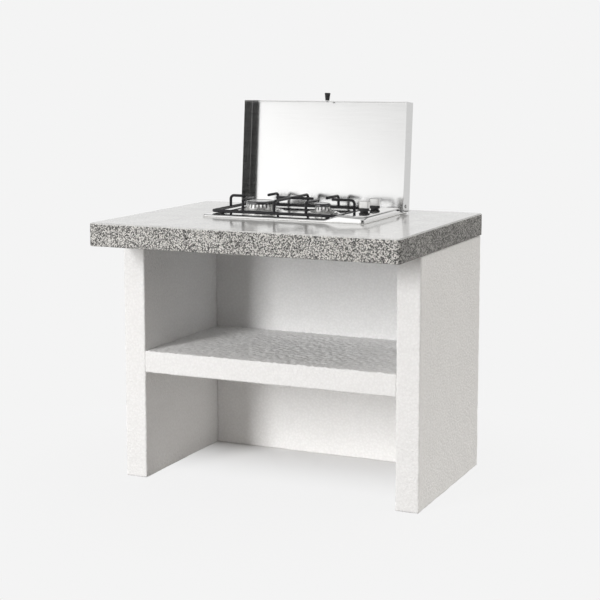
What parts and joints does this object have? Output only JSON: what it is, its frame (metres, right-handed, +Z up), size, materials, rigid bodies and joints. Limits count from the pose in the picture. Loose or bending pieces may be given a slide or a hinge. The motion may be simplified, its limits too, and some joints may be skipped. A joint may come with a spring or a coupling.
{
  "type": "outdoor kitchen module",
  "caption": "Masonry outdoor kitchen module: speckled stone worktop on a white plastered base with shelf, and a gas hob under a hinged stainless lid.",
  "frame": {"origin": "on the floor, under the middle of the worktop's outline", "axes": "+X to the right seen from the front, +Y to the back, +Z up"},
  "size_m": [1.02, 0.78, 1.2391],
  "materials": {
    "terrazzo": "polished black and white speckle",
    "plaster": "fine textured white plaster over concrete",
    "mortar": "trowelled",
    "stainless": "satin stainless",
    "galvanised": "zinc coated",
    "hinge_steel": "plain steel",
    "black_enamel": "vitreous enamel",
    "burner_aluminium": "machined casting",
    "satin_silver": "satin silver",
    "black_plastic": "fine matte",
    "rubber": "matte",
    "brass": "turned",
    "pipe_steel": "drawn tube"
  },
  "bodies": {
    "base": {"worktop_slab": "terrazzo", "left_side_panel": "plaster", "right_side_panel": "plaster", "back_panel": "plaster", "shelf_slab": "plaster", "mortar_beds": "mortar", "hob_plate": "stainless", "hob_underpan": "galvanised", "hold_down_clips": "galvanised", "clip_screws": "galvanised", "bracket_screws": "galvanised", "left_hinge_bracket": "hinge_steel", "right_hinge_bracket": "hinge_steel", "left_hinge_pin": "hinge_steel", "right_hinge_pin": "hinge_steel", "large_burner_cup": "burner_aluminium", "small_burner_cup": "burner_aluminium", "front_knob_bezel": "black_plastic", "rear_knob_bezel": "black_plastic", "hinge_bushes": "black_plastic", "hob_seal": "rubber", "front_tap_body": "brass", "rear_tap_body": "brass", "large_jet_holder": "brass", "small_jet_holder": "brass", "pipe_nuts": "brass", "gas_inlet_elbow": "brass", "inlet_lock_nut": "brass", "gas_manifold": "pipe_steel", "large_feed_pipe": "pipe_steel", "small_feed_pipe": "pipe_steel"},
    "lid": {"lid_shell": "stainless", "lid_knob": "black_plastic", "lid_knob_collar": "hinge_steel", "lid_knob_screw": "galvanised"},
    "pan_grid": {"pan_support": "black_enamel", "pan_support_feet": "rubber"},
    "large_crown": {"large_burner_crown": "burner_aluminium"},
    "large_cap": {"large_burner_cap": "black_enamel"},
    "small_crown": {"small_burner_crown": "burner_aluminium"},
    "small_cap": {"small_burner_cap": "black_enamel"},
    "front_plug": {"front_tap_plug": "brass"},
    "front_knob": {"front_spindle": "brass", "front_knob_skirt": "black_plastic", "front_knob_grip": "satin_silver"},
    "rear_plug": {"rear_tap_plug": "brass"},
    "rear_knob": {"rear_spindle": "brass", "rear_knob_skirt": "black_plastic", "rear_knob_grip": "satin_silver"}
  },
  "joints": [
    {"name": "lid_hinge", "type": "hinge", "parent": "base", "child": "lid", "pos_m": [0, 0.251, 0.875], "axis": [-1, 0, 0], "range_deg": [-94.8, 0]},
    {"name": "pan_grid_lift", "type": "slide", "parent": "base", "child": "pan_grid", "axis": [0, 0, 1], "range_m": [0, 0.12]},
    {"name": "large_crown_lift", "type": "slide", "parent": "base", "child": "large_crown", "axis": [0, 0, 1], "range_m": [0, 0.08]},
    {"name": "large_cap_lift", "type": "slide", "parent": "large_crown", "child": "large_cap", "axis": [0, 0, 1], "range_m": [0, 0.06]},
    {"name": "small_crown_lift", "type": "slide", "parent": "base", "child": "small_crown", "axis": [0, 0, 1], "range_m": [0, 0.08]},
    {"name": "small_cap_lift", "type": "slide", "parent": "small_crown", "child": "small_cap", "axis": [0, 0, 1], "range_m": [0, 0.06]},
    {"name": "front_tap_turn", "type": "hinge", "parent": "base", "child": "front_plug", "pos_m": [0.221, 0.066, 0.85], "axis": [0, 0, 1], "range_deg": [0, 210]},
    {"name": "front_knob_push", "type": "slide", "parent": "front_plug", "child": "front_knob", "axis": [0, 0, 1], "range_m": [-0.003, 0], "stiffness_N_per_m": 2000, "springref_m": 0.004},
    {"name": "rear_tap_turn", "type": "hinge", "parent": "base", "child": "rear_plug", "pos_m": [0.221, 0.157, 0.85], "axis": [0, 0, 1], "range_deg": [0, 210]},
    {"name": "rear_knob_push", "type": "slide", "parent": "rear_plug", "child": "rear_knob", "axis": [0, 0, 1], "range_m": [-0.003, 0], "stiffness_N_per_m": 2000, "springref_m": 0.004}
  ]
}
